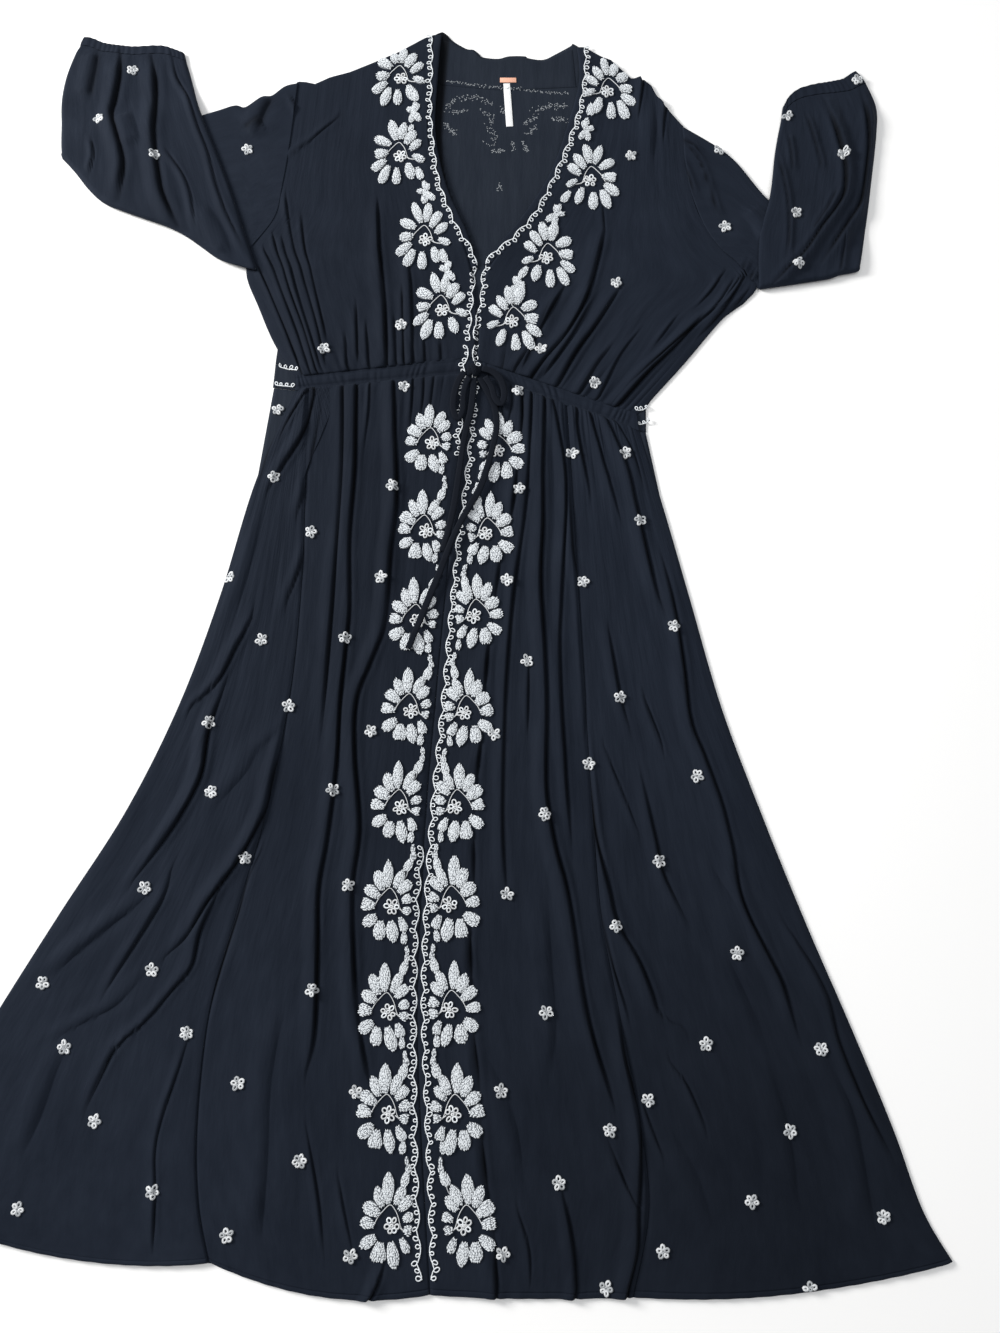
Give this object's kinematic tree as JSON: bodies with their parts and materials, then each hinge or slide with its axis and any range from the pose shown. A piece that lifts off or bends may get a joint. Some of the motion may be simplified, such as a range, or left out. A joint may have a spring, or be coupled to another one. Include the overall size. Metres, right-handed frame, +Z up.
{
  "type": "peasant dress laid flat",
  "caption": "Long crinkle-rayon peasant dress laid flat, with a V neck, drawstring waist, wide sleeves folded at the elbow and raised chain-stitch flowers.",
  "frame": {"origin": "bottom centre of the bounding box, on the surface that the dress lies on", "axes": "+X across the dress to the right as seen from above, +Y from the hem to the neck, +Z up"},
  "size_m": [0.96, 1.288, 0.0119],
  "materials": {
    "crinkle_rayon": "dark navy crinkled rayon with a soft dull sheen",
    "rayon_back": "dark navy rayon, inside of the back",
    "tie_cloth": "narrow turned tube of the same rayon",
    "chain_stitch": "off-white cotton chain stitch, matt and raised",
    "label_tape": "plain woven tape, unmarked",
    "label_ribbon": "plain white satin ribbon, unmarked"
  },
  "bodies": {
    "root": {"back_bodice": "rayon_back", "back_waistband": "rayon_back", "back_skirt": "rayon_back", "back_neck_facing": "rayon_back", "front_bodice_left": "crinkle_rayon", "front_bodice_right": "crinkle_rayon", "front_skirt_left": "crinkle_rayon", "front_skirt_right": "crinkle_rayon", "side_skirt_left": "crinkle_rayon", "side_skirt_right": "crinkle_rayon", "waist_casing_left": "crinkle_rayon", "waist_casing_right": "crinkle_rayon", "neck_binding_left": "crinkle_rayon", "neck_binding_right": "crinkle_rayon", "sleeve_left": "crinkle_rayon", "cuff_left": "crinkle_rayon", "sleeve_right": "crinkle_rayon", "cuff_right": "crinkle_rayon", "flower_left_01": "chain_stitch", "flower_right_01": "chain_stitch", "flower_left_02": "chain_stitch", "flower_right_02": "chain_stitch", "flower_left_03": "chain_stitch", "flower_right_03": "chain_stitch", "flower_left_04": "chain_stitch", "flower_right_04": "chain_stitch", "flower_left_05": "chain_stitch", "flower_right_05": "chain_stitch", "flower_left_06": "chain_stitch", "flower_right_06": "chain_stitch", "flower_left_07": "chain_stitch", "flower_right_07": "chain_stitch", "flower_left_08": "chain_stitch", "flower_right_08": "chain_stitch", "flower_left_09": "chain_stitch", "flower_right_09": "chain_stitch", "flower_left_10": "chain_stitch", "flower_right_10": "chain_stitch", "flower_left_11": "chain_stitch", "flower_right_11": "chain_stitch", "flower_left_12": "chain_stitch", "flower_right_12": "chain_stitch", "flower_left_13": "chain_stitch", "flower_right_13": "chain_stitch", "tie_knot": "tie_cloth", "tie_loop_left": "tie_cloth", "tie_loop_right": "tie_cloth", "tie_end_short": "tie_cloth", "tie_end_long": "tie_cloth", "label_tab": "label_tape", "label_strip": "label_ribbon"}
  },
  "joints": []
}
